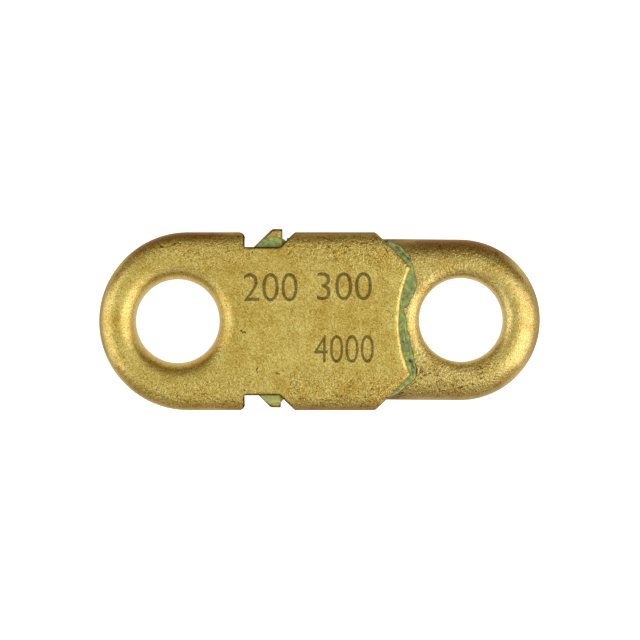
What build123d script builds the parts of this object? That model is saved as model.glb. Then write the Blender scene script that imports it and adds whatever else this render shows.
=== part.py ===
import os

from build123d import *

# Brass sheet, and the alloy that joins the two plates (millimetres)
sheet = 0.7
film = 0.2
link_height = 4.4

# Eyes: a round hole with a turned-down collar, inside a turned-down rim. The crest is the
# least flat ring between the two bends, and the foot the least straight wall below them.
eye_pitch = 37.25
hole_radius = 5.5
collar_lift = 0.6
crest = 0.2
foot = 0.5
upper_reach = 10.3
lower_reach = 10.45

# Upper plate
upper_width = 23.4
upper_bend = 2.2
upper_collar = 2.4
upper_fork_gap = 1.0

# Lower plate, which nests between the flanges of the upper plate
side_play = 0.4
rub_gap = 0.03
eye_shift = 0.16
lower_bend = 3.0
lower_collar = 1.7
lower_fork_gap = 1.35

# Forked inner end of each plate: two tips, a hollow arc between them and 45 degree shoulders.
# The fork gaps above lie between that hollow and the foot of the other plate's collar.
tip_spread = 14.1
fork_depth = 1.55
tip_radius = 0.5
edge_roll = 0.35

# Ears of the lower plate
ear_length = 1.35
ear_corner = 0.65
ear_wedge_corner = 0.15
ear_relief = 0.55
ear_roll = 0.15

# Notches in the flanges of the upper plate, which let the ears out
notch_depth = 2.0
notch_room = 1.5
notch_corner = 0.8
notch_root = 0.25
wedge_lap = 0.25

# Alloy squeezed out past the fork of the upper plate and onto the two ears
squeeze_height = 0.45
squeeze_back = 2.6
film_inset = 0.12
back_ear_bare = 1.15
front_ear_bare = 0.7

# Ragged edge of that alloy, from the back of the link to the front. Each point is its place
# past the foot of the lower collar and its place across, as shares of the lower half width.
ragged_edge = [
    (-0.273, 1.0),
    (-0.09, 0.94),
    (0.028, 0.80),
    (0.08, 0.67),
    (0.127, 0.47),
    (0.061, 0.29),
    (-0.019, 0.155),
    (-0.011, 0.02),
    (-0.003, -0.12),
    (0.052, -0.31),
    (0.113, -0.60),
    (0.099, -0.735),
    (0.005, -0.82),
    (-0.108, -0.905),
    (-0.226, -0.952),
]


def pressed_radii(reach, half_width, height, bend, collar):
    """Radii of the rim and the collar of an eye, limited by the ring of web and the height."""
    ring = min(reach, half_width) - hole_radius - crest
    share = min(1, ring / (bend + collar), (height - foot) / max(bend, collar))
    return bend * share, collar * share


# Sizes worked out from those above
length = upper_reach + eye_pitch + lower_reach
upper_half = upper_width / 2
lower_half = upper_half - sheet - side_play
lower_height = link_height - sheet - film
upper_rim, upper_lip = pressed_radii(
    upper_reach, upper_half, link_height, upper_bend, upper_collar
)
lower_rim, lower_lip = pressed_radii(
    lower_reach, lower_half, lower_height, lower_bend, lower_collar
)
lower_collar_foot = eye_pitch - hole_radius - lower_lip
upper_collar_foot = eye_pitch - hole_radius - upper_lip
upper_tip_reach = lower_collar_foot - upper_fork_gap + fork_depth
lower_tip_reach = upper_collar_foot - lower_fork_gap + fork_depth
tip_half = tip_spread / 2
ear_half = upper_half
ear_tip = lower_tip_reach - (ear_half - tip_half)
ear_reach = ear_tip - ear_length
flange_reach = ear_reach - ear_relief
web_half = lower_half - lower_rim
notch_half = upper_half - notch_depth
shoulder_reach = upper_tip_reach - (upper_half - tip_half)

# Places of the notch, measured from the left hole like the rest of the upper plate
ear_to_left_hole = eye_pitch - ear_reach
notch_right = ear_to_left_hole - wedge_lap
notch_left = ear_to_left_hole - ear_length - (ear_half - notch_half) - notch_room
notch_mouth = notch_right + notch_depth

# Each plate is drawn from its own hole, with local X running towards its fork. The lower
# plate leans until its flange all but rubs on the upper flange beside the notch.
lean_run = eye_pitch - notch_mouth
lean_rise = side_play - rub_gap - eye_shift
upper_plane = Plane(origin=(upper_reach - length / 2, 0, 0), x_dir=(1, 0, 0), z_dir=(0, 0, 1))
lower_plane = Plane(
    origin=(length / 2 - lower_reach, eye_shift, 0),
    x_dir=(-lean_run, lean_rise, 0),
    z_dir=(0, 0, 1),
)


def pressed_form(plane, grow, half_width, reach, run, height, rim, lip):
    """Filled block with the outside of a pressed plate, grown evenly by grow."""
    half = half_width + grow
    centre = half_width - reach
    with BuildPart() as form:
        with BuildSketch(plane):
            with BuildLine():
                Line((run, half), (centre, half))
                ThreePointArc((centre, half), (centre - half, 0), (centre, -half))
                Line((centre, -half), (run, -half))
                Line((run, -half), (run, half))
            make_face()
        extrude(amount=height + grow)
        across = Axis(plane.origin, plane.y_dir)
        outline = form.edges().group_by(Axis.Z)[-1].filter_by(across, reverse=True)
        fillet(outline, rim + grow)
        with BuildSketch(plane):
            Circle(hole_radius - grow)
        extrude(amount=height + grow, mode=Mode.SUBTRACT)
        mouth = form.edges().filter_by(GeomType.CIRCLE).group_by(Axis.Z)[-1]
        fillet(mouth.sort_by(SortBy.RADIUS)[0], lip + grow)
    return form.part


def upper_form(grow):
    return pressed_form(
        upper_plane,
        grow,
        upper_half,
        upper_reach,
        upper_tip_reach,
        link_height,
        upper_rim,
        upper_lip,
    )


def lower_form(grow):
    return pressed_form(
        lower_plane,
        grow,
        lower_half,
        lower_reach,
        lower_tip_reach,
        lower_height,
        lower_rim,
        lower_lip,
    )


def corners_at(plan, x):
    """Corners of a plan outline at one place along it, those nearest its middle first."""
    near = 0.01
    corners = plan.vertices().filter_by_position(Axis.X, x - near, x + near)
    return corners.sort_by(lambda corner: abs(corner.Y))


def collar_trim(plane):
    """Space under the eye that ends the collar clear of what the link rests on."""
    with BuildPart() as trim:
        with BuildSketch(plane):
            Circle(hole_radius + sheet)
        extrude(amount=collar_lift)
    return trim.part


# Upper plate: a pressed shell with rim, collar and flanges, trimmed to its plan outline
with BuildPart() as upper_plate:
    add(upper_form(0))
    add(upper_form(-sheet), mode=Mode.SUBTRACT)
    add(collar_trim(upper_plane), mode=Mode.SUBTRACT)
    with BuildSketch(upper_plane) as upper_plan:
        with BuildLine():
            Polyline(
                (-upper_reach, 0),
                (-upper_reach, upper_half),
                (notch_left, upper_half),
                (notch_left, notch_half),
                (notch_right, notch_half),
                (notch_mouth, upper_half),
                (shoulder_reach, upper_half),
                (upper_tip_reach, tip_half),
            )
            mirror(about=Plane.XZ)
            ThreePointArc(
                (upper_tip_reach, tip_half),
                (upper_tip_reach - fork_depth, 0),
                (upper_tip_reach, -tip_half),
            )
        make_face()
        fillet(corners_at(upper_plan, upper_tip_reach), tip_radius)
        fillet(corners_at(upper_plan, notch_left)[-2:], notch_corner)
        fillet(corners_at(upper_plan, notch_right), notch_root)
    extrude(amount=link_height, mode=Mode.INTERSECT)
    fork_edge = upper_plate.edges().filter_by(GeomType.CIRCLE).group_by(Axis.Z)[-1]
    fillet(fork_edge.group_by(Axis.X)[-2], edge_roll)

# Lower plate: a pressed shell around its eye, and flat sheet with the ears and the fork
with BuildPart() as lower_plate:
    add(lower_form(0))
    add(lower_form(-sheet), mode=Mode.SUBTRACT)
    add(collar_trim(lower_plane), mode=Mode.SUBTRACT)
    with BuildSketch(lower_plane):
        with Locations(((flange_reach - lower_reach) / 2, 0)):
            Rectangle(flange_reach + lower_reach, 2 * lower_half)
    extrude(amount=lower_height, mode=Mode.INTERSECT)
    with BuildSketch(lower_plane.offset(lower_height - sheet)) as tail_plan:
        with BuildLine():
            Polyline(
                (lower_tip_reach, tip_half),
                (ear_tip, ear_half),
                (ear_reach, ear_half),
                (ear_reach, web_half),
                (flange_reach, web_half),
                (flange_reach, 0),
            )
            mirror(about=Plane.XZ)
            ThreePointArc(
                (lower_tip_reach, tip_half),
                (lower_tip_reach - fork_depth, 0),
                (lower_tip_reach, -tip_half),
            )
        make_face()
        fillet(corners_at(tail_plan, lower_tip_reach), tip_radius)
        fillet(corners_at(tail_plan, ear_tip), ear_corner)
        fillet(corners_at(tail_plan, ear_reach)[-2:], ear_wedge_corner)
    extrude(amount=sheet)
    web_edges = lower_plate.faces().filter_by(Plane.XY).sort_by(Axis.Z)[-1].edges()
    along = Axis(lower_plane.origin, lower_plane.x_dir)
    web_edges = web_edges.filter_by(along).sort_by(Axis.Y)
    fillet([web_edges[0], web_edges[-1]], ear_roll)

# Alloy squeezed out along the fork: it lies on the lower plate and stops in a ragged edge
with BuildPart() as squeeze:
    with BuildSketch(upper_plane):
        with BuildLine():
            points = [
                (lower_collar_foot + past * lower_half, across * lower_half)
                for past, across in ragged_edge
            ]
            ragged = Spline(*points)
            under_fork = upper_tip_reach - fork_depth - squeeze_back
            Polyline(
                ragged @ 1,
                (under_fork, (ragged @ 1).Y),
                (under_fork, (ragged @ 0).Y),
                ragged @ 0,
            )
        make_face()
    extrude(amount=link_height)
    add(lower_form(squeeze_height), mode=Mode.INTERSECT)

# Alloy: the film between the two webs and on the ears, joined to what was squeezed out
film_end = eye_pitch - upper_tip_reach + fork_depth + film_inset
with BuildPart() as solder:
    with BuildSketch(lower_plane.offset(lower_height)):
        with BuildLine():
            fork_tip = lower_tip_reach - film_inset
            for side, bare in ((-1, back_ear_bare), (1, front_ear_bare)):
                cover = ear_half - bare
                Polyline(
                    (fork_tip, side * tip_half),
                    (ear_tip + ear_half - cover - film_inset, side * cover),
                    (ear_reach + film_inset, side * cover),
                    (ear_reach + film_inset, side * web_half),
                    (film_end, side * web_half),
                    (film_end, 0),
                )
            ThreePointArc(
                (fork_tip, tip_half),
                (fork_tip - fork_depth, 0),
                (fork_tip, -tip_half),
            )
        make_face()
    extrude(amount=film)
    add(squeeze.part)
    add(lower_form(0), mode=Mode.SUBTRACT)
    add(upper_plate.part, mode=Mode.SUBTRACT)

upper_plate.part.label = "upper_plate"
lower_plate.part.label = "lower_plate"
solder.part.label = "solder"

os.makedirs("parts", exist_ok=True)
export_step(upper_plate.part, "parts/upper_plate.step")
export_step(lower_plate.part, "parts/lower_plate.step")
export_step(solder.part, "parts/solder.step")
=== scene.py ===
import math

import bpy
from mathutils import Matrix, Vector, noise
from mathutils.bvhtree import BVHTree
from mathutils.geometry import delaunay_2d_cdt
from mathutils.kdtree import KDTree


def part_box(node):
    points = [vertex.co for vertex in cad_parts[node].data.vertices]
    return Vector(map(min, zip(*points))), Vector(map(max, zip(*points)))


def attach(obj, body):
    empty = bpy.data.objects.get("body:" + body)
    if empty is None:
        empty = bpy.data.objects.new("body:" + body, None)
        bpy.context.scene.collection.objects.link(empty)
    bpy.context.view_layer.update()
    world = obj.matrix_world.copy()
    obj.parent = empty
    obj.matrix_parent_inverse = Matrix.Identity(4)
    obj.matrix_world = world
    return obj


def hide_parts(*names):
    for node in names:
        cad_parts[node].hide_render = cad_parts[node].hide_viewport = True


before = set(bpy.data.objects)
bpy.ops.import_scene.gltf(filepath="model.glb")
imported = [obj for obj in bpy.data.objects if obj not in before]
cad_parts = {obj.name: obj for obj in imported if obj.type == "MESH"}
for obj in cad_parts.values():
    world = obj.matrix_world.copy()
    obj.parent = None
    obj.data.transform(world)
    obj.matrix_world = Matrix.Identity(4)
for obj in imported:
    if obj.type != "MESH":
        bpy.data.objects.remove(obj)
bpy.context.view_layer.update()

MM = 0.001

# The photograph looks straight down: 7.65 pixels of its 640 show one millimetre at the plates
PIXELS_PER_MM = 7.65
FRAME_WIDTH = 640 / PIXELS_PER_MM * MM
VIEW_CENTRE = (0.013 * MM, 0.157 * MM)

# Focal length and sensor width in millimetres: a lens this long hardly shows any perspective
LENS = 200
SENSOR = 36

# Softboxes: place and size in metres, radiance, and the colour of their light. All are turned
# to one place just above the link.
SOFTBOXES = {
    "softbox_left": ((-0.30, -0.02, 0.14), (0.34, 0.42), 1.0, "#FFFFFF"),
    "softbox_right": ((0.28, -0.05, 0.19), (0.42, 0.48), 1.28, "#FFF8F2"),
    "softbox_front": ((0.0, -0.28, 0.18), (0.60, 0.16), 0.35, "#FFFFFF"),
}
LIGHT_AIM = Vector((0, 0, 0.02))

# Heights in the pack, in millimetres: the tops of the two webs, the top of the film of solder
# between them, and a height above all of it, from which the plates are probed
FILM = 0.2
UPPER_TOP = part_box("upper_plate")[1].z / MM
LOWER_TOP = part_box("lower_plate")[1].z / MM
FILM_TOP = LOWER_TOP + FILM
ABOVE_ALL = 10.0

# Scars and numbers stand this far proud of the brass, and reach this far into it, in millimetres
PROUD = 0.006
SUNK = 0.02

# Fork of the upper plate, as the solid has it: its tips, and the depth of the hollow between them
TIP_X, TIP_Y, FORK_DEPTH = 11.9, 7.05, 1.55

# Just inside the roots of the notches in the flanges, from the middle of the link
NOTCH_ROOT = 9.69

# Room between the solder and the upper plate, in millimetres
CLEARANCE = 0.01

# Free edges of the solder, in millimetres from the middle of the link: along the fork of the
# upper plate, on the back ear, on the front ear, and under the left eye along the lower fork.
# Each is closed by a tucked edge, which lies hidden between the plates.
SEAM_EDGE = [
    (8.47, 10.82), (9.69, 10.35), (10.41, 10.01), (11.19, 9.24), (11.83, 8.61), (11.99, 8.17),
    (12.03, 7.83), (12.29, 7.05), (12.43, 6.17), (12.69, 5.02), (12.51, 4.04), (12.33, 3.37),
    (11.83, 2.73), (11.76, 2.31), (11.39, 1.79), (11.05, 1.71), (11.08, 1.19), (11.27, 0.67),
    (11.39, -0.09), (11.35, -0.69), (11.42, -1.07), (11.76, -1.96), (11.91, -2.94), (12.13, -3.84),
    (12.33, -4.44), (12.51, -5.65), (12.67, -6.39), (12.51, -7.44), (12.13, -7.90), (11.53, -8.42),
    (10.34, -9.46), (9.82, -9.78), (8.98, -10.10),
]
SEAM_TUCK = [
    (8.2, -10.0), (11.0, -7.0), (10.2, -3.5), (9.9, 0.0), (10.2, 3.5), (11.0, 7.0), (7.6, 10.7),
]
BACK_EAR_EDGE = [
    (-8.69, 9.66), (-7.70, 10.62), (-7.41, 10.74), (-6.71, 10.93), (-6.01, 11.12), (-5.40, 11.02),
    (-5.10, 10.86), (-4.90, 10.84), (-4.47, 10.56), (-4.47, 10.42),
]
BACK_EAR_TUCK = [(-5.3, 9.5), (-6.0, 9.2), (-8.4, 9.2)]
FRONT_EAR_EDGE = [
    (-4.50, -10.25), (-4.76, -10.27), (-4.95, -10.43), (-5.06, -10.63), (-5.19, -10.76),
    (-5.41, -10.69), (-5.87, -10.69), (-6.26, -10.76), (-6.65, -10.82), (-7.31, -10.26),
    (-7.96, -9.62),
]
FRONT_EAR_TUCK = [(-7.8, -9.2), (-6.0, -9.2), (-5.3, -9.5)]
UNDER_EDGE = [
    (-9.4, 8.9), (-10.9, 8.0), (-11.6, 7.2), (-11.5, 6.0), (-10.9, 4.4), (-10.6, 3.1), (-10.1, 1.5),
    (-10.3, 0.3), (-10.2, -1.2), (-10.7, -3.0), (-11.3, -4.4), (-11.4, -5.8), (-11.7, -7.0),
    (-10.8, -7.8), (-9.5, -8.8),
]
UNDER_TUCK = [
    (-9.2, -8.0), (-10.3, -6.5), (-9.2, -3.0), (-9.0, 0.0), (-9.2, 3.4), (-10.3, 6.9), (-9.2, 8.1),
]
FILM_OUTLINE = [
    (-9.3, -8.1), (10.1, -8.1), (10.1, 8.4), (-9.3, 8.4), (-10.4, 6.9), (-9.2, 0.2), (-10.4, -6.6),
]

# Dents and cracks in the seam: two ends, half width and depth, in millimetres
SEAM_CRACKS = [
    ((10.75, 8.95), (11.75, 8.0), 0.10, 0.22),
    ((9.9, 9.75), (10.5, 9.3), 0.12, 0.14),
    ((12.25, 6.6), (12.45, 5.0), 0.08, 0.10),
    ((11.0, -1.1), (11.35, -2.9), 0.10, 0.16),
    ((11.6, -3.2), (11.75, -4.4), 0.10, 0.12),
    ((11.75, -5.1), (12.25, -6.0), 0.16, 0.24),
    ((11.9, -5.9), (12.0, -6.2), 0.08, 0.20),
    ((12.0, -6.4), (12.1, -7.0), 0.12, 0.12),
    ((10.9, 3.6), (10.8, 2.4), 0.10, 0.10),
]

# Scar marks on the plates, dark with old oxidation, and painted shadow below the tail of the
# seam: half width, and points along each, in millimetres
SCARS_AND_SHADOW = [
    (0.10, [(-10.5, -1.3), (-10.25, -1.22), (-10.1, -1.5), (-9.85, -1.4), (-9.7, -1.65)]),
    (0.07, [(-8.35, -5.75), (-8.1, -6.0), (-8.3, -6.35), (-8.1, -6.75)]),
    (0.08, [(-9.22, -7.9), (-8.98, -8.0)]),
    (0.09, [(-5.75, -6.75), (-5.4, -6.9), (-5.2, -6.86)]),
    (0.06, [(-10.0, -8.85), (-9.75, -9.15)]),
    (
        0.025,
        [(-4.2, -6.9), (-2.9, -7.55), (-1.5, -7.9), (-1.25, -8.45), (-0.5, -8.65), (-0.2, -8.2)],
    ),
    (0.05, [(-12.1, 9.8), (-12.05, 9.45), (-12.15, 9.2)]),
    (0.07, [(-8.95, 9.12), (-8.75, 8.95)]),
    (0.10, [(-10.85, 11.05), (-10.5, 11.1)]),
    (0.05, [(-0.5, 11.13), (0.4, 10.95), (0.9, 10.75), (1.75, 10.55)]),
    (0.04, [(8.5, 1.4), (9.1, 1.3), (9.2, 1.05)]),
    (0.04, [(9.4, 1.1), (9.5, 0.6)]),
    (0.05, [(8.85, -0.25), (9.15, -0.35)]),
    (0.06, [(8.4, 9.75), (8.75, 9.2), (8.85, 8.9)]),
    (0.05, [(6.9, 11.2), (7.6, 10.6)]),
    (0.04, [(1.0, 9.9), (1.35, 9.5)]),
    (0.05, [(-14.9, -7.9), (-14.6, -8.1)]),
    (0.05, [(0.3, -10.2), (1.0, -10.45), (1.7, -10.3)]),
    (0.06, [(20.95, -6.8), (21.25, -6.95)]),
    (0.05, [(19.4, -5.75), (19.7, -5.8)]),
    (0.05, [(16.0, -9.0), (16.6, -9.2)]),
    (0.05, [(23.0, 9.0), (23.4, 8.6)]),
    # These two ribbons are painted shadow below the tail of the seam
    (0.13, [(9.2, -10.2), (9.9, -9.9), (10.5, -9.55), (11.0, -9.3)]),
    (0.06, [(9.9, -10.15), (10.7, -9.85), (11.3, -9.8)]),
    (0.05, [(11.9, -8.4), (12.3, -8.15), (12.5, -7.9)]),
]


def linear(colour):
    """An sRGB hex colour as linear RGBA."""
    channels = [int(colour[i:i + 2], 16) / 255 for i in (1, 3, 5)]
    return [c / 12.92 if c <= 0.04045 else ((c + 0.055) / 1.055) ** 2.4 for c in channels] + [1.0]


def add(tree, kind, inputs=None, stops=(), **settings):
    """Adds a node with its settings, and fills its inputs with values, hex colours or links.

    A node among the inputs stands for its first output, and stops are those of a colour ramp.
    """
    made = tree.nodes.new(kind)
    for name, value in settings.items():
        setattr(made, name, value)
    for key, value in (inputs or {}).items():
        if isinstance(value, bpy.types.Node):
            value = value.outputs[0]
        if isinstance(value, bpy.types.NodeSocket):
            tree.links.new(value, made.inputs[key])
        else:
            made.inputs[key].default_value = linear(value) if isinstance(value, str) else value
    for _ in stops[2:]:
        made.color_ramp.elements.new(0.5)
    for i, (position, colour) in enumerate(stops):
        made.color_ramp.elements[i].position = position
        made.color_ramp.elements[i].color = linear(colour)
    return made


def new_material(name):
    """An empty material and its node tree."""
    material = bpy.data.materials.new(name)
    material.use_nodes = True
    material.node_tree.nodes.clear()
    return material, material.node_tree


def millimetres(tree):
    """Object coordinates in millimetres, so that a scale is the number of features in one."""
    place = add(tree, "ShaderNodeTexCoord").outputs["Object"]
    return add(tree, "ShaderNodeMapping", {"Vector": place, "Scale": (1 / MM, 1 / MM, 1 / MM)})


def layered(tree, colour, layers):
    """A colour with layers over it: how each one blends, its share from 0 to 1, and its colour."""
    for blend, share, layer in layers:
        # A Mix node has its factor at 0, its two colours at 6 and 7, and the mixed colour at 2
        inputs = {0: share, 6: colour, 7: layer}
        mixed = add(tree, "ShaderNodeMix", inputs, data_type="RGBA", blend_type=blend)
        colour = mixed.outputs[2]
    return colour


def brass_patterns(tree, place):
    """Noise that brass is mottled, marked and wrinkled with, by name."""
    # The sheet was rolled at a slant to the link
    slant = add(tree, "ShaderNodeMapping", {"Vector": place, "Rotation": (0, 0, math.radians(45))})
    rolled = add(tree, "ShaderNodeMapping", {"Vector": slant, "Scale": (3.5, 10.0, 4.0)})
    # What each pattern is laid on, its features in a millimetre, and its detail, harshness and
    # distortion. The real grain is finer than a pixel of the render, which is 0.13 mm, so it is
    # drawn about a pixel wide.
    pattern = {}
    for key, laid_on, scale, detail, harshness, distortion in (
        ("grain", place, 9.0, 0.5, 0.5, 0.0),  # 0.11 mm
        ("rolling", rolled, 1.0, 0.5, 0.5, 0.0),  # marks 0.1 mm wide and 0.3 mm long
        ("cloud", place, 0.35, 3.0, 0.6, 0.0),  # tarnish in clouds of 3 mm
        ("pits", place, 5.5, 1.0, 0.5, 0.0),  # 0.2 mm, all over
        ("spots", place, 2.0, 4.0, 0.75, 0.0),  # stains of 0.5 mm, here and there
        ("wrinkles", place, 2.6, 2.0, 0.5, 0.6),  # 0.4 mm
    ):
        pattern[key] = add(
            tree, "ShaderNodeTexNoise",
            {
                "Vector": laid_on,
                "Scale": scale,
                "Detail": detail,
                "Roughness": harshness,
                "Distortion": distortion,
            },
        )
    return pattern


def brass_shares(tree, place, cloud):
    """How much of each effect of the press, each painted shade and the painted reflection shows, by
    name.
    """
    x, y, _ = add(tree, "ShaderNodeSeparateXYZ", {0: place}).outputs
    along = add(tree, "ShaderNodeMath", {0: x}, operation="ABSOLUTE")
    aside = add(tree, "ShaderNodeMath", {0: y}, operation="ABSOLUTE")
    # The ears stand 6.7 mm left of the middle of the link
    past_ears = add(tree, "ShaderNodeMath", {0: x, 1: 6.7}, operation="ADD")
    from_ears = add(tree, "ShaderNodeMath", {0: past_ears}, operation="ABSOLUTE")
    facing = add(tree, "ShaderNodeTexCoord").outputs["Normal"]
    _, backward, upward = add(tree, "ShaderNodeSeparateXYZ", {0: facing}).outputs
    # What each share follows, in millimetres or as a part of the normal, the two values between
    # which it changes, and how much it is at the first and at the second
    share = {}
    for key, follows, first, second, share_first, share_second in (
        # Wrinkles are faint where the sheet stayed flat and deeper where the flanges were bent.
        # The ears stick out of the notches, and weren't bent.
        ("flange", aside, 6.2, 10.0, 0.18, 0.9),
        ("unbent", from_ears, 1.8, 3.0, 0.3, 1.0),
        # They are deepest on the right eye, where its foot was drawn down, in front of the hole
        # and left of its back
        ("front", y, -3.0, -6.5, 0.4, 1.0),
        ("foot", x, 11.0, 13.0, 0.0, 1.0),
        ("tip", x, 25.0, 21.5, 0.25, 1.0),
        # They come and go in patches, and are rubbed off on steep walls
        ("patchy", cloud, 0.38, 0.62, 1.2, 0.8),
        ("burnished", upward, 0.35, 0.85, 0.25, 1.0),
        # Steep walls, which are painted paler as a painted reflection of the pale table
        ("steep", upward, 0.75, 0.3, 0.0, 1.0),
        ("painted_reflection", upward, 0.75, 0.3, 0.0, 0.45),
        # Painted shade on the walls of the web, between the eyes, fading down them
        ("middle", along, 14.0, 10.0, 0.25, 1.0),
        ("walls", aside, 7.5, 9.5, 0.0, 1.0),
        ("upper", upward, 0.0, 0.3, 0.3, 1.0),
        # Painted shade, brown, on the back rims of the eyes
        ("back", backward, 0.3, 0.8, 0.0, 0.9),
        ("far", y, 7.0, 9.0, 0.0, 1.0),
        ("round_eye", along, 10.0, 14.0, 0.2, 0.9),
        # All is a little darker along both long edges, and painted shade dims the steep walls at
        # both ends
        ("edges", aside, 5.5, 9.0, 0.0, 1.0),
        ("far_end", along, 26.4, 28.2, 0.0, 1.0),
        # Painted shade lines the edges of the ears, the notches and the back shoulder, and the
        # fork, where the light falls, gets little of it
        ("tipward", x, 4.0, 7.0, 1.0, 0.12),
        ("outer", aside, 8.6, 9.3, 0.1, 1.0),
        ("shoulder", y, 6.9, 7.6, 0.0, 0.9),
    ):
        share[key] = add(
            tree, "ShaderNodeMapRange",
            {
                "Value": follows,
                "From Min": first,
                "From Max": second,
                "To Min": share_first,
                "To Max": share_second,
            },
        )
    # Shares that take two others: multiplied where both have to show, and the larger of them
    # where either may
    for key, operation, first, second in (
        ("creased", "MULTIPLY", "flange", "unbent"),
        ("drawn", "MULTIPLY", "foot", "tip"),
        ("eye", "MULTIPLY", "front", "drawn"),
        ("bent", "MAXIMUM", "creased", "eye"),
        ("kept", "MULTIPLY", "patchy", "burnished"),
        ("pressed", "MULTIPLY", "bent", "kept"),
        ("lengthwise", "MULTIPLY", "middle", "walls"),
        # Painted shade on the walls of the web and on the back rims of the eyes
        ("shaded_walls", "MULTIPLY", "steep", "lengthwise"),
        ("faded", "MULTIPLY", "shaded_walls", "upper"),
        ("rim", "MULTIPLY", "far", "round_eye"),
        ("back_rim_shade", "MULTIPLY", "back", "rim"),
        ("painted_shade", "MAXIMUM", "faded", "back_rim_shade"),
        ("darker_along_edges", "MULTIPLY", "edges", "unbent"),
        # Painted shade on the steep walls at both ends
        ("painted_end_shade", "MULTIPLY", "steep", "far_end"),
        # Where painted shade lines the edges
        ("outer_edges", "MULTIPLY", "tipward", "outer"),
        ("shaded_edges", "MAXIMUM", "outer_edges", "shoulder"),
    ):
        inputs = {0: share[first], 1: share[second]}
        share[key] = add(tree, "ShaderNodeMath", inputs, operation=operation)
    return share


def brass(name, tones, roughness):
    """Satin brass in these tones, dark to light, wrinkled, with painted shade and reflection."""
    material, tree = new_material(name)
    place = millimetres(tree)
    pattern = brass_patterns(tree, place)
    share = brass_shares(tree, place, pattern["cloud"])
    # Dirt and painted shade lie in the wrinkles where the sheet was pressed
    dirt_and_shade_share = add(tree, "ShaderNodeMath", {0: share["pressed"], 1: 0.8}, operation="MULTIPLY")

    # Rounding turns the normal near an edge of the sheet, which rounds its shading and finds the
    # edges on which a line of painted shade is laid. The real dark line is finer than 0.7 mm, and
    # is drawn that wide so that it shows.
    edge = add(tree, "ShaderNodeBevel", {"Radius": 0.7 * MM}, samples=12)
    flat = add(tree, "ShaderNodeNewGeometry").outputs["Normal"]
    turn = add(tree, "ShaderNodeVectorMath", {0: edge, 1: flat}, operation="DOT_PRODUCT")

    # Colours that follow a pattern, or the turn at an edge, from its low values to its high ones
    tint = {}
    for key, follows, stops in (
        ("tone", pattern["grain"], [(0.36, tones[0]), (0.5, tones[1]), (0.64, tones[2])]),
        ("streak", pattern["rolling"], [(0.38, "#E8DCBC"), (0.56, "#FFFFFF")]),
        ("stain", pattern["cloud"], [(0.36, "#EEE4CE"), (0.55, "#FFFFFF")]),
        ("spot", pattern["spots"], [(0.27, "#6A5028"), (0.34, "#FFFFFF")]),
        ("pit", pattern["pits"], [(0.27, "#8A6E3A"), (0.34, "#FFFFFF")]),
        # Dirt, with painted shade, in the valleys of the wrinkles
        ("dirt_and_shade", pattern["wrinkles"], [(0.3, "#5A4622"), (0.42, "#FFFFFF")]),
        # Painted shade along the edges, where the rounding turns the normal
        ("edge_shade", turn.outputs["Value"], [(0.93, "#442812"), (0.992, "#FFFFFF")]),
    ):
        tint[key] = add(tree, "ShaderNodeValToRGB", {"Fac": follows}, stops)
    # From the metal up: rolling marks, tarnish, stains, pits, and grime with painted shade in the
    # wrinkles, then a painted reflection, darkening along both edges, and painted shade
    colour = layered(
        tree, tint["tone"],
        [
            ("MULTIPLY", 1.0, tint["streak"]),
            ("MULTIPLY", 1.0, tint["stain"]),
            ("MULTIPLY", 1.0, tint["spot"]),
            ("MULTIPLY", 1.0, tint["pit"]),
            ("MULTIPLY", dirt_and_shade_share, tint["dirt_and_shade"]),
            # A painted reflection of the pale table makes steep walls paler
            ("MIX", share["painted_reflection"], "#FFF4DC"),
            # A little darker along both long edges
            ("MULTIPLY", share["darker_along_edges"], "#EBE8DF"),
            # Painted shade, brown, on the walls of the web and the back rims of the eyes
            ("MULTIPLY", share["painted_shade"], "#A87626"),
            # Painted shade that dims the steep walls at both ends
            ("MULTIPLY", share["painted_end_shade"], "#BCAE92"),
            # Painted shade along the edges of the ears, the notches and the back shoulder
            ("MULTIPLY", share["shaded_edges"], tint["edge_shade"]),
        ],
    )

    # The wrinkles are 0.26 mm deep at most, and the grain adds a third of that
    heights = add(
        tree, "ShaderNodeMath",
        {0: pattern["grain"], 1: 0.34, 2: pattern["wrinkles"]}, operation="MULTIPLY_ADD",
    )
    bump = add(
        tree, "ShaderNodeBump",
        {"Strength": share["pressed"], "Distance": 0.26 * MM, "Height": heights, "Normal": edge},
    )
    shader = add(
        tree, "ShaderNodeBsdfPrincipled",
        {"Base Color": colour, "Metallic": 1.0, "Roughness": roughness, "Normal": bump},
    )
    add(tree, "ShaderNodeOutputMaterial", {"Surface": shader})
    return material


def tumbled_brass():
    """Rolled brass, pressed and tumbled: it gives a satin yellow with a crisp, mottled grain."""
    return brass("tumbled_brass", ("#DAC26E", "#F6E48C", "#FFF8B8"), 0.33)


def paler_brass():
    """The brass of the lower plate, a little paler than that of the upper one."""
    return brass("paler_brass", ("#D6C278", "#F1E294", "#FFF8C2"), 0.33)


def laser_marked_brass():
    """The same brass, darkened by a marking laser to a dull olive."""
    return brass("laser_marked_brass", ("#877A4E", "#9C8E5C", "#AFA06A"), 0.45)


def scar_and_shadow_brass():
    """Brown, rough brass, oxidised where the tumbling didn't reach, and laid as painted shadow."""
    return brass("scar_and_shadow_brass", ("#4E3C1E", "#6A5228", "#8A7038"), 0.5)


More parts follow.
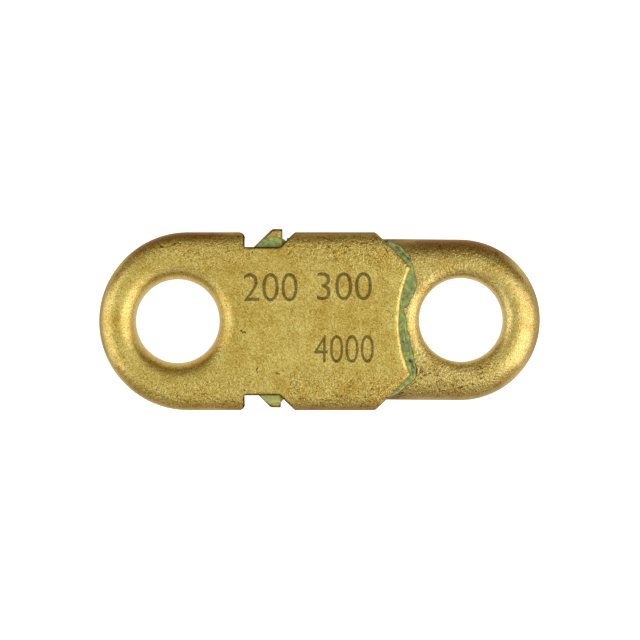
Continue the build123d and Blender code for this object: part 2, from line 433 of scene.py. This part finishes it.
def fusible_solder():
    """Fusible tin and bismuth alloy, cast as it set and made dull and green by oxidation.

    It looks waxy, with grey and dark veins, and is darker where its free edge stands up steeply.
    """
    material, tree = new_material("fusible_solder")
    place = millimetres(tree)
    _, y, _ = add(tree, "ShaderNodeSeparateXYZ", {0: place}).outputs
    facing = add(tree, "ShaderNodeTexCoord").outputs["Normal"]
    _, _, upward = add(tree, "ShaderNodeSeparateXYZ", {0: facing}).outputs

    # Patches of 0.8 mm, veins of 0.3 mm and grit, drawn about a pixel wide so that it shows
    patches = add(
        tree, "ShaderNodeTexNoise",
        {"Vector": place, "Scale": 1.3, "Detail": 4.0, "Roughness": 0.7},
    )
    veins = add(
        tree, "ShaderNodeTexNoise",
        {"Vector": place, "Scale": 3.2, "Detail": 3.0, "Roughness": 0.6},
    )
    grit = add(tree, "ShaderNodeTexNoise", {"Vector": place, "Scale": 9.0, "Detail": 2.0})
    body = add(
        tree, "ShaderNodeValToRGB", {"Fac": patches},
        [(0.36, "#8E8878"), (0.46, "#8EA468"), (0.56, "#A8C46E"), (0.68, "#CCDC86")],
    )
    vein = add(
        tree, "ShaderNodeValToRGB", {"Fac": veins},
        [(0.30, "#8A7E72"), (0.42, "#FFFFFF"), (0.62, "#FFFFFF"), (0.74, "#D8F0B8")],
    )

    # It is lighter along the front of the link, dark in its cracks, and darker where its free
    # edge stands up steeply
    lighter_in_front = add(
        tree, "ShaderNodeMapRange",
        {"Value": y, "From Min": -9.0, "From Max": -9.8, "To Min": 0.0, "To Max": 0.5},
    )
    cracked = add(tree, "ShaderNodeAttribute", attribute_name="hollow").outputs["Fac"]
    darker_when_steep = add(
        tree, "ShaderNodeValToRGB", {"Fac": upward}, [(0.2, "#6A5A40"), (0.65, "#FFFFFF")],
    )
    colour = layered(
        tree, body,
        [
            ("MULTIPLY", 1.0, vein),
            ("MIX", lighter_in_front, "#D6E28C"),
            ("MIX", cracked, "#4A4030"),
            ("MULTIPLY", 1.0, darker_when_steep),
        ],
    )
    bump = add(
        tree, "ShaderNodeBump", {"Strength": 1.0, "Distance": 0.03 * MM, "Height": grit},
    )
    shader = add(
        tree, "ShaderNodeBsdfPrincipled",
        {"Base Color": colour, "Roughness": 0.42, "IOR": 1.5, "Normal": bump},
    )
    add(tree, "ShaderNodeOutputMaterial", {"Surface": shader})
    return material


def white_table():
    """Matt white table, lit through from below, so that it hardly shows a shadow."""
    material, tree = new_material("white_table")
    shader = add(
        tree, "ShaderNodeBsdfPrincipled",
        {
            "Base Color": "#F4F4F4",
            "Roughness": 0.9,
            "Emission Color": "#FFFFFF",
            "Emission Strength": 0.92,
        },
    )
    add(tree, "ShaderNodeOutputMaterial", {"Surface": shader})
    return material


def new_object(name, data):
    """An object at the origin, linked into the scene, that shows this data."""
    made = bpy.data.objects.new(name, data)
    bpy.context.scene.collection.objects.link(made)
    return made


def make_table():
    """A table that reaches past the edges of every view, in metres."""
    half = 3.0
    corners = [(-half, -half, 0), (half, -half, 0), (half, half, 0), (-half, half, 0)]
    mesh = bpy.data.meshes.new("table")
    mesh.from_pydata(corners, [], [(0, 1, 2, 3)])
    mesh.materials.append(white_table())
    table = new_object("table", mesh)
    table.visible_glossy = False


def make_camera():
    """A long lens straight above the link, at the distance that gives the photograph's frame."""
    data = bpy.data.cameras.new("camera")
    data.lens = LENS
    data.sensor_width = SENSOR
    data.clip_start = 0.01
    camera = new_object("camera", data)
    camera.location = (*VIEW_CENTRE, UPPER_TOP * MM + FRAME_WIDTH * LENS / SENSOR)
    bpy.context.scene.camera = camera


def make_softbox(name, place, size, glow, colour):
    """A rectangular softbox that glows evenly with this radiance, turned to the link."""
    data = bpy.data.lights.new(name, "AREA")
    data.shape = "RECTANGLE"
    data.size, data.size_y = size
    # Its radiance is its power over pi times its area
    data.energy = glow * math.pi * size[0] * size[1]
    data.color = linear(colour)[:3]
    light = new_object(name, data)
    light.location = place
    light.rotation_euler = (LIGHT_AIM - Vector(place)).to_track_quat("-Z", "Y").to_euler()
    light.visible_camera = False


def make_room():
    """A warm, dim room: brighter overhead, darkest at the horizon, with the pale table below."""
    world = bpy.data.worlds.new("room")
    world.use_nodes = True
    tree = world.node_tree
    tree.nodes.clear()
    towards = add(tree, "ShaderNodeTexCoord").outputs["Generated"]
    _, back, up = add(tree, "ShaderNodeSeparateXYZ", {0: towards}).outputs
    height = add(tree, "ShaderNodeMath", {0: up, 1: 0.5, 2: 0.5}, operation="MULTIPLY_ADD")
    layers = add(
        tree, "ShaderNodeValToRGB", {"Fac": height},
        [
            (0.0, "#DACEB6"), (0.34, "#D6C6A2"), (0.5, "#6A5434"), (0.62, "#685032"),
            (0.76, "#928668"), (0.88, "#A8A084"), (1.0, "#D8D3B4"),
        ],
    )
    # It is a little brighter in front than at the back
    side = add(tree, "ShaderNodeMath", {0: back, 1: -0.05, 2: 1.0}, operation="MULTIPLY_ADD")
    background = add(tree, "ShaderNodeBackground", {"Color": layers, "Strength": side})
    add(tree, "ShaderNodeOutputWorld", {"Surface": background})
    bpy.context.scene.world = world


def make_studio():
    """The light: the room, and a softbox at the left, at the right and in front."""
    bpy.context.scene.view_settings.view_transform = "Standard"
    make_room()
    for name, (place, size, glow, colour) in SOFTBOXES.items():
        make_softbox(name, place, size, glow, colour)


def smooth_line(points, step):
    """Points about one step apart along a Catmull-Rom curve through these."""
    padded = [points[0], *points, points[-1]]
    line = []
    for before, start, end, after in zip(padded, padded[1:], padded[2:], padded[3:]):
        start, end = Vector(start), Vector(end)
        rise, fall = (end - Vector(before)) / 2, (Vector(after) - start) / 2
        count = max(1, round((end - start).length / step))
        for i in range(count):
            t = i / count
            line.append(
                start * (2 * t ** 3 - 3 * t ** 2 + 1) + rise * (t ** 3 - 2 * t ** 2 + t)
                + end * (3 * t ** 2 - 2 * t ** 3) + fall * (t ** 3 - t ** 2)
            )
    return [*line, Vector(points[-1])]


def straight_line(points, step):
    """Points about one step apart along straight runs between these."""
    line = []
    for start, end in zip(points, points[1:]):
        start, end = Vector(start), Vector(end)
        count = max(1, round((end - start).length / step))
        line += [start.lerp(end, i / count) for i in range(count)]
    return [*line, Vector(points[-1])]


def rough(x, y, size, seed):
    """Noise from -1 to 1 with features of this size, in millimetres."""
    return noise.noise(Vector((x / size, y / size, seed)))


def ragged_line(points, step, seed):
    """A smooth line through these, shifted here and there by up to 0.1 mm."""
    line = []
    for point in smooth_line(points, step):
        shift = 0.05 * rough(*point, 0.35, seed) + 0.03 * rough(*point, 0.14, seed + 5)
        line.append(point + Vector((shift, 0.6 * shift)))
    return line


def inside(point, loop):
    """Whether a point lies inside a closed loop of points."""
    hit = False
    for a, b in zip(loop, [*loop[1:], loop[0]]):
        if (a.y > point.y) != (b.y > point.y):
            if point.x < a.x + (point.y - a.y) * (b.x - a.x) / (b.y - a.y):
                hit = not hit
    return hit


def distance_from(points):
    """A function that says how far a point lies from the nearest of these."""
    nearest = KDTree(len(points))
    for i, point in enumerate(points):
        nearest.insert((*point, 0), i)
    nearest.balance()
    return lambda point: nearest.find((*point, 0))[2]


def distance_from_crack(point, start, end):
    """How far a point lies from the straight line between a crack's two ends."""
    start, end = Vector(start), Vector(end)
    run = end - start
    share = max(0.0, min(1.0, (point - start).dot(run) / run.length_squared))
    return (point - start - run * share).length


def filled(loop, extra, spacing):
    """Points and triangles that fill a closed loop evenly, with these extra points among them."""
    low = Vector((min(p.x for p in loop), min(p.y for p in loop)))
    high = Vector((max(p.x for p in loop), max(p.y for p in loop)))
    # Rows this far apart, each shifted by half a step, give nearly even triangles
    row_gap = spacing * 0.87
    from_loop = distance_from(loop)
    points = loop + [point for point in extra if inside(point, loop)]
    for row in range(int((high.y - low.y) / row_gap) + 1):
        for column in range(int((high.x - low.x) / spacing) + 1):
            point = low + Vector((spacing * (column + 0.5 * (row % 2)), row_gap * row))
            if inside(point, loop) and from_loop(point) > spacing * 0.5:
                points.append(point)
    keep_inside, tolerance = 1, 1e-5
    flat, _, faces, *_ = delaunay_2d_cdt(
        points, [], [list(range(len(loop)))], keep_inside, tolerance
    )
    return flat, [tuple(face) for face in faces]


def closed_shell(triangles, count):
    """Faces of a shell with a top and a bottom of count points each, and a wall between them."""
    bottom = [tuple(count + i for i in reversed(face)) for face in triangles]
    edges = dict.fromkeys(
        edge for face in triangles for edge in zip(face, (*face[1:], face[0]))
    )
    wall = [(b, a, count + a, count + b) for a, b in edges if (b, a) not in edges]
    return triangles + bottom + wall


def pool_of_solder(
    free, tuck, seat, cover, edge, seed, roof=None, extra=(), cracks=(), spacing=0.075, up=1
):
    """Points, faces and hollows of a lump of solder between a free edge and a tucked one.

    seat(point) is the height that it lies on, roof(point) the height that it stays under, cover
    its thickness and edge the width over which it rounds down. With up at -1 it hangs instead.
    """
    thinnest, buried, darkest_depth = 0.02, 0.03, 0.22
    shore = ragged_line(free, spacing * 0.8, seed)
    from_shore = distance_from(shore)
    loop = shore + straight_line([shore[-1], *tuck, shore[0]], spacing)[1:-1]
    flat, triangles = filled(loop, extra, spacing)
    top, bottom, hollows = [], [], []
    for point in flat:
        inward = min(1.0, from_shore(point) / edge)
        swell = math.sqrt(1 - (1 - inward) ** 2)
        # Lumps of 1.1, 0.45 and 0.2 mm, each as a share of the thickness
        lumps = 0.16 * rough(*point, 1.1, seed) + 0.09 * rough(*point, 0.45, seed + 1)
        lumps += 0.04 * rough(*point, 0.2, seed + 2)
        hollow = 0.0
        for start, end, half_width, depth in cracks:
            near = math.exp(-(distance_from_crack(point, start, end) / half_width) ** 2)
            near *= 0.75 + 0.6 * rough(*point, 0.3, seed + 3)
            lumps -= depth * near / cover
            hollow = max(hollow, min(1.0, near * depth / darkest_depth))
        height = seat(point) + up * max(thinnest, cover * swell * (1 + lumps))
        top.append((*point, min(height, roof(point)) if roof else height))
        bottom.append((*point, seat(point) - up * buried))
        # A crack is lighter again where it runs out over the free edge
        hollows.append(hollow * min(1.0, 2 * inward))
    faces = closed_shell(triangles, len(flat))
    if up < 0:
        faces = [tuple(reversed(face)) for face in faces]
    return top + bottom, faces, hollows + [0.0] * len(flat)


def film_of_solder():
    """Points, faces and hollows of the film between the two webs."""
    gap = 0.005
    heights = (LOWER_TOP + gap, FILM_TOP - gap)
    points = [(x, y, height) for height in heights for x, y in FILM_OUTLINE]
    count = len(FILM_OUTLINE)
    faces = [tuple(reversed(range(count))), tuple(range(count, 2 * count))]
    for i in range(count):
        following = (i + 1) % count
        faces.append((i, following, count + following, count + i))
    return points, faces, [0.0] * len(points)


def fork_x(y):
    """Where the fork of the upper plate ends, across the link."""
    if abs(y) > TIP_Y:
        return TIP_X - (abs(y) - TIP_Y)
    radius = (TIP_Y ** 2 + FORK_DEPTH ** 2) / (2 * FORK_DEPTH)
    return TIP_X - FORK_DEPTH + radius - math.sqrt(radius ** 2 - y ** 2)


def height_of(plate):
    """A function that gives the height of a plate at a point, or 0, the table, past its edges."""
    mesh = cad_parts[plate].data
    corners = [vertex.co / MM for vertex in mesh.vertices]
    surface = BVHTree.FromPolygons(corners, [tuple(face.vertices) for face in mesh.polygons])

    def height(point):
        hit = surface.ray_cast(Vector((*point, ABOVE_ALL)), Vector((0, 0, -1)))[0]
        return hit.z if hit else 0.0

    return height


def make_solder(material):
    """All the solder: the seam along the fork, the cover of the ears, the bead and the film."""
    lower_plate = height_of("lower_plate")
    # Heights in millimetres. It lies on the plate down to the lowest seat, which leaves out the
    # walls, and keeps level past that. Beside the fork and on an ear it rises to these at most.
    lowest_seat, past_edge = 1.6, LOWER_TOP - 0.3
    beside_fork, on_ear = UPPER_TOP - 0.3, LOWER_TOP + 0.25

    def on_lower_plate(point):
        height = lower_plate(point)
        return height if height > lowest_seat else past_edge

    def under_fork(point):
        covered = point.x < fork_x(point.y) - CLEARANCE
        return FILM_TOP - CLEARANCE if covered else beside_fork

    def under_notch(point):
        return FILM_TOP - CLEARANCE if abs(point.y) < NOTCH_ROOT else on_ear

    # Points on both sides of the fork's edge, every 0.05 mm, make the step under it crisp
    fork_rows = [
        Vector((fork_x(y / 20) + off, y / 20)) for y in range(-200, 215) for off in (-0.02, 0.005)
    ]
    pools = [
        pool_of_solder(
            SEAM_EDGE, SEAM_TUCK, on_lower_plate, cover=0.5, edge=0.3, seed=3,
            roof=under_fork, extra=fork_rows, cracks=SEAM_CRACKS,
        ),
        pool_of_solder(
            BACK_EAR_EDGE, BACK_EAR_TUCK, on_lower_plate, cover=0.2, edge=0.3, seed=11,
            roof=under_notch,
        ),
        pool_of_solder(
            FRONT_EAR_EDGE, FRONT_EAR_TUCK, on_lower_plate, cover=0.2, edge=0.3, seed=17,
            roof=under_notch,
        ),
        pool_of_solder(
            UNDER_EDGE, UNDER_TUCK, lambda point: FILM_TOP, cover=0.45, edge=0.4, seed=23,
            spacing=0.12, up=-1,
        ),
        film_of_solder(),
    ]
    vertices, faces, hollows = [], [], []
    for points, shell, depths in pools:
        faces += [tuple(len(vertices) + i for i in face) for face in shell]
        vertices += [(x * MM, y * MM, z * MM) for x, y, z in points]
        hollows += depths
    mesh = bpy.data.meshes.new("solder_seam")
    mesh.from_pydata(vertices, [], faces)
    mesh.attributes.new("hollow", "FLOAT", "POINT").data.foreach_set("value", hollows)
    mesh.materials.append(material)
    mesh.validate()
    for polygon in mesh.polygons:
        polygon.use_smooth = True
    seam = new_object("solder_seam", mesh)
    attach(seam, "root")
    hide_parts("solder")


def make_scars_and_shadow(material):
    """Ragged ribbons that lie on the plates, and taper to both ends: scar marks and painted shadow.
    """
    step, narrowest = 0.05, 0.01
    plates = [height_of("upper_plate"), height_of("lower_plate")]
    vertices, faces = [], []
    for seed, (half_width, points) in enumerate(SCARS_AND_SHADOW):
        line = smooth_line(points, step)
        first = len(vertices)
        # Each place along it has four corners: left top, left bottom, right top, right bottom
        for i, point in enumerate(line):
            run = (line[min(i + 1, len(line) - 1)] - line[max(i - 1, 0)]).normalized()
            taper = math.sin(math.pi * (i + 0.5) / len(line)) ** 0.5
            for side in (1, -1):
                ragged = 0.9 + 0.9 * rough(*point, 0.11, 31 + seed + 0.37 * side)
                width = max(narrowest, half_width * taper * ragged)
                edge = point + side * width * Vector((-run.y, run.x))
                height = max(plate(edge) for plate in plates)
                for off in (PROUD, -SUNK):
                    vertices.append((edge.x * MM, edge.y * MM, (height + off) * MM))
        for i in range(first, len(vertices) - 4, 4):
            faces += [(i, i + 2, i + 6, i + 4), (i + 1, i + 5, i + 7, i + 3)]
            faces += [(i, i + 4, i + 5, i + 1), (i + 2, i + 3, i + 7, i + 6)]
        last = len(vertices) - 4
        faces += [(first, first + 1, first + 3, first + 2), (last, last + 2, last + 3, last + 1)]
    mesh = bpy.data.meshes.new("scars_and_shadow")
    mesh.from_pydata(vertices, [], faces)
    mesh.materials.append(material)
    mesh.validate()
    scars_and_shadow = new_object("scars_and_shadow", mesh)
    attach(scars_and_shadow, "root")


def make_mark(name, digits, place, size, material):
    """A plain number on the upper web, as a skin of marked metal.

    place is its lower left corner and size its width and height, in millimetres.
    """
    text = bpy.data.curves.new(name, "FONT")
    text.body = digits
    # Any depth will do here, because its top and bottom are moved to their heights below
    text.extrude = 0.01
    # Slightly thinner strokes than the font's
    text.offset = -0.006
    holder = bpy.data.objects.new(name + "_text", text)
    mesh = bpy.data.meshes.new_from_object(holder)
    bpy.data.objects.remove(holder)
    mesh.name = name
    xs, ys = ([vertex.co[i] for vertex in mesh.vertices] for i in range(2))
    for vertex in mesh.vertices:
        x = place[0] + size[0] * (vertex.co.x - min(xs)) / (max(xs) - min(xs))
        y = place[1] + size[1] * (vertex.co.y - min(ys)) / (max(ys) - min(ys))
        z = UPPER_TOP + (PROUD if vertex.co.z > 0 else -SUNK)
        vertex.co = Vector((x, y, z)) * MM
    mesh.materials.clear()
    mesh.materials.append(material)
    mark = new_object(name, mesh)
    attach(mark, "root")


make_camera()
make_studio()
make_table()
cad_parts["upper_plate"].data.materials[0] = tumbled_brass()
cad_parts["lower_plate"].data.materials[0] = paler_brass()
make_solder(fusible_solder())
make_scars_and_shadow(scar_and_shadow_brass())
marked = laser_marked_brass()
make_mark("number_back_left", "200", (-10.0, 2.6), (7.1, 3.7), marked)
make_mark("number_back_right", "300", (-0.4, 2.75), (7.2, 3.65), marked)
make_mark("number_front_right", "4000", (-0.75, -5.45), (7.8, 3.65), marked)
